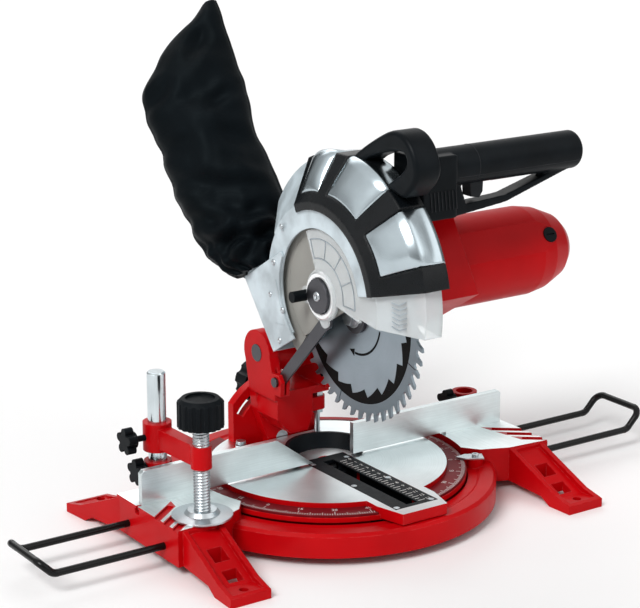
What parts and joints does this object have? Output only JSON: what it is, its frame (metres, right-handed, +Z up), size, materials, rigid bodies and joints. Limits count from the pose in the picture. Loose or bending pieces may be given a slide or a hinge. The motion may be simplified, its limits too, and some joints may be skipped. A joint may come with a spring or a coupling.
{
  "type": "mitre saw",
  "caption": "Compact bench mitre saw: round swivelling table on a red base, tilting chop head with guarded blade, side motor, D-handle, dust bag, work clamp and bent side supports.",
  "frame": {"origin": "middle of the four bench bolt holes, on the bench plane under the feet", "axes": "+Z up, -Y towards the operator, +X to the operator's right; the blade lies in x = 0 at rest"},
  "size_m": [0.7322, 0.4112, 0.4927],
  "materials": {
    "red_cast": "satin paint",
    "red_motor": "moulded satin",
    "bare_alu": "machined",
    "bright_steel": "zinc plated",
    "blade_steel": "ground",
    "dark_steel": "blackened",
    "chrome_panel": "bright plated",
    "black_plastic": "fine grain",
    "grey_plastic": "fine grain",
    "dark_grey_plastic": "fine grain",
    "taupe_plate": "matt paint",
    "clear_guard": "clear moulded",
    "scale_band": "printed",
    "cloth": "woven",
    "copper_winding": "lacquered"
  },
  "bodies": {
    "base": {"base_casting": "red_cast", "fence_right": "bare_alu", "base_screws": "bright_steel", "mitre_pointer": "bright_steel", "chip_collar": "black_plastic"},
    "fence_slide": {"fence_left": "bare_alu"},
    "support_left": {"support_left_rod": "dark_steel"},
    "support_right": {"support_right_rod": "dark_steel"},
    "support_lock_left": {"support_screw_left": "black_plastic"},
    "support_lock_right": {"support_screw_right": "black_plastic"},
    "clamp_post": {"clamp_column": "bright_steel"},
    "clamp_bar": {"clamp_arm": "red_cast"},
    "clamp_bar_lock": {"clamp_arm_knob": "black_plastic"},
    "clamp_foot": {"clamp_pad": "bright_steel"},
    "clamp_screw": {"clamp_spindle": "bright_steel", "clamp_knob": "black_plastic"},
    "column_lock_left": {"column_knob_left": "black_plastic"},
    "column_lock_right": {"column_knob_right": "black_plastic"},
    "table": {"turntable": "red_cast", "mitre_scale": "scale_band", "table_insert": "black_plastic", "insert_screws": "bright_steel", "turntable_bolt": "bright_steel", "bevel_pin": "bright_steel", "bevel_end_stop": "bright_steel"},
    "bracket": {"bevel_bracket": "red_cast", "bevel_zero_stop": "bright_steel", "head_pin": "dark_steel"},
    "bevel_lock": {"bevel_knob": "black_plastic"},
    "carry_lock": {"head_lock_pin": "black_plastic"},
    "head": {"head_arm": "red_cast", "head_spring": "bright_steel", "gear_case": "red_cast", "upper_guard": "grey_plastic", "guard_trim": "black_plastic", "guard_panels": "chrome_panel", "guard_side_plate": "taupe_plate", "dust_port": "grey_plastic", "dust_bag": "cloth", "guard_pivot": "dark_steel", "motor_bearings": "bright_steel", "stator": "dark_steel", "motor_housing": "red_motor", "brush_caps": "black_plastic", "brushes": "dark_steel", "handle": "black_plastic", "carry_handle": "black_plastic"},
    "clear_guard": {"lower_guard": "clear_guard", "guard_stud": "black_plastic"},
    "link": {"guard_link": "dark_steel"},
    "blade_shaft": {"blade": "blade_steel", "blade_flanges": "dark_steel", "arbor": "bright_steel", "arbor_gear": "bright_steel", "arbor_bolt": "bright_steel"},
    "rotor": {"armature": "copper_winding", "motor_fan": "black_plastic"},
    "trigger": {"trigger": "dark_grey_plastic"},
    "lock_off": {"lock_button": "dark_grey_plastic"},
    "shaft_lock": {"spindle_lock": "black_plastic"}
  },
  "joints": [
    {"name": "support_left_slide", "type": "slide", "parent": "base", "child": "support_left", "axis": [-1, 0, 0], "range_m": [-0.004, 0.03]},
    {"name": "fence_left_slide", "type": "slide", "parent": "base", "child": "fence_slide", "axis": [-1, 0, 0], "range_m": [0, 0.052]},
    {"name": "support_right_slide", "type": "slide", "parent": "base", "child": "support_right", "axis": [1, 0, 0], "range_m": [-0.004, 0.03]},
    {"name": "support_lock_left_turn", "type": "hinge", "parent": "base", "child": "support_lock_left", "pos_m": [-0.186, 0.034, 0.01], "axis": [0, 0, 1], "range_deg": [-180, 180]},
    {"name": "support_lock_right_turn", "type": "hinge", "parent": "base", "child": "support_lock_right", "pos_m": [0.186, 0.034, 0.01], "axis": [0, 0, 1], "range_deg": [-180, 180]},
    {"name": "clamp_swing", "type": "hinge", "parent": "base", "child": "clamp_post", "pos_m": [-0.187, 0.036, 0.1], "axis": [0, 0, -1], "range_deg": [-20, 100]},
    {"name": "clamp_bar_slide", "type": "slide", "parent": "clamp_post", "child": "clamp_bar", "axis": [0, 0, 1], "range_m": [0, 0.04]},
    {"name": "clamp_bar_lock_turn", "type": "hinge", "parent": "clamp_bar", "child": "clamp_bar_lock", "pos_m": [-0.207, 0.036, 0.104], "axis": [1, 0, 0], "range_deg": [-180, 180]},
    {"name": "clamp_foot_lift", "type": "slide", "parent": "clamp_bar", "child": "clamp_foot", "axis": [0, 0, 1], "range_m": [0, 0.024]},
    {"name": "clamp_screw_turn", "type": "hinge", "parent": "clamp_foot", "child": "clamp_screw", "pos_m": [-0.18307, -0.0389, 0.1], "axis": [0, 0, 1], "range_deg": [-1, 2881]},
    {"name": "column_lock_left_turn", "type": "hinge", "parent": "base", "child": "column_lock_left", "pos_m": [-0.203, 0.036, 0.071], "axis": [1, 0, 0], "range_deg": [-180, 180]},
    {"name": "column_lock_right_turn", "type": "hinge", "parent": "base", "child": "column_lock_right", "pos_m": [0.171, 0.036, 0.071], "axis": [1, 0, 0], "range_deg": [-180, 180]},
    {"name": "mitre_swivel", "type": "hinge", "parent": "base", "child": "table", "pos_m": [0, 0.02, 0.02], "axis": [0, 0, 1], "range_deg": [-45, 45]},
    {"name": "bevel_tilt", "type": "hinge", "parent": "table", "child": "bracket", "pos_m": [0, 0.115, 0.045], "axis": [0, -1, 0], "range_deg": [0, 45]},
    {"name": "bevel_lock_turn", "type": "hinge", "parent": "bracket", "child": "bevel_lock", "pos_m": [-0.00543, 0.13, 0.09671], "axis": [0, 1, 0], "range_deg": [-180, 180]},
    {"name": "carry_lock_slide", "type": "slide", "parent": "bracket", "child": "carry_lock", "axis": [-1, 0, 0], "range_m": [0, 0.007]},
    {"name": "chop", "type": "hinge", "parent": "bracket", "child": "head", "pos_m": [0, 0.1, 0.143], "axis": [1, 0, 0], "range_deg": [0, 31.3], "stiffness_Nm_per_rad": 16, "springref_deg": -51.57},
    {"name": "guard_open", "type": "hinge", "parent": "head", "child": "clear_guard", "pos_m": [-0.029, -0.01337, 0.2289], "axis": [-1, 0, 0], "range_deg": [0, 46.09]},
    {"name": "link_swing", "type": "hinge", "parent": "bracket", "child": "link", "pos_m": [-0.027, 0.064, 0.121], "axis": [1, 0, 0], "range_deg": [0, 39.07]},
    {"name": "blade_spin", "type": "hinge", "parent": "head", "child": "blade_shaft", "pos_m": [0, -0.03167, 0.20843], "axis": [1, 0, 0], "continuous": true},
    {"name": "rotor_spin", "type": "hinge", "parent": "head", "child": "rotor", "pos_m": [0.15, -0.01297, 0.23919], "axis": [1, 0, 0], "continuous": true},
    {"name": "trigger_pull", "type": "slide", "parent": "head", "child": "trigger", "axis": [0, 0, 1], "range_m": [0, 0.006], "stiffness_N_per_m": 900, "springref_m": -0.002},
    {"name": "lock_off_press", "type": "slide", "parent": "head", "child": "lock_off", "axis": [0, -1, 0], "range_m": [0, 0.004], "stiffness_N_per_m": 700, "springref_m": -0.002},
    {"name": "shaft_lock_press", "type": "slide", "parent": "head", "child": "shaft_lock", "axis": [0, 0.8545, -0.5195], "range_m": [0, 0.004], "stiffness_N_per_m": 700, "springref_m": -0.002}
  ],
  "couplings": [
    {"joint": "clamp_screw_turn", "follows": "clamp_foot_lift", "rad_per_m": 2094.4},
    {"joint": "guard_open", "follows": "chop", "ratio": 1.4629},
    {"joint": "link_swing", "follows": "chop", "ratio": 1.2387},
    {"joint": "rotor_spin", "follows": "blade_spin", "ratio": -5}
  ]
}
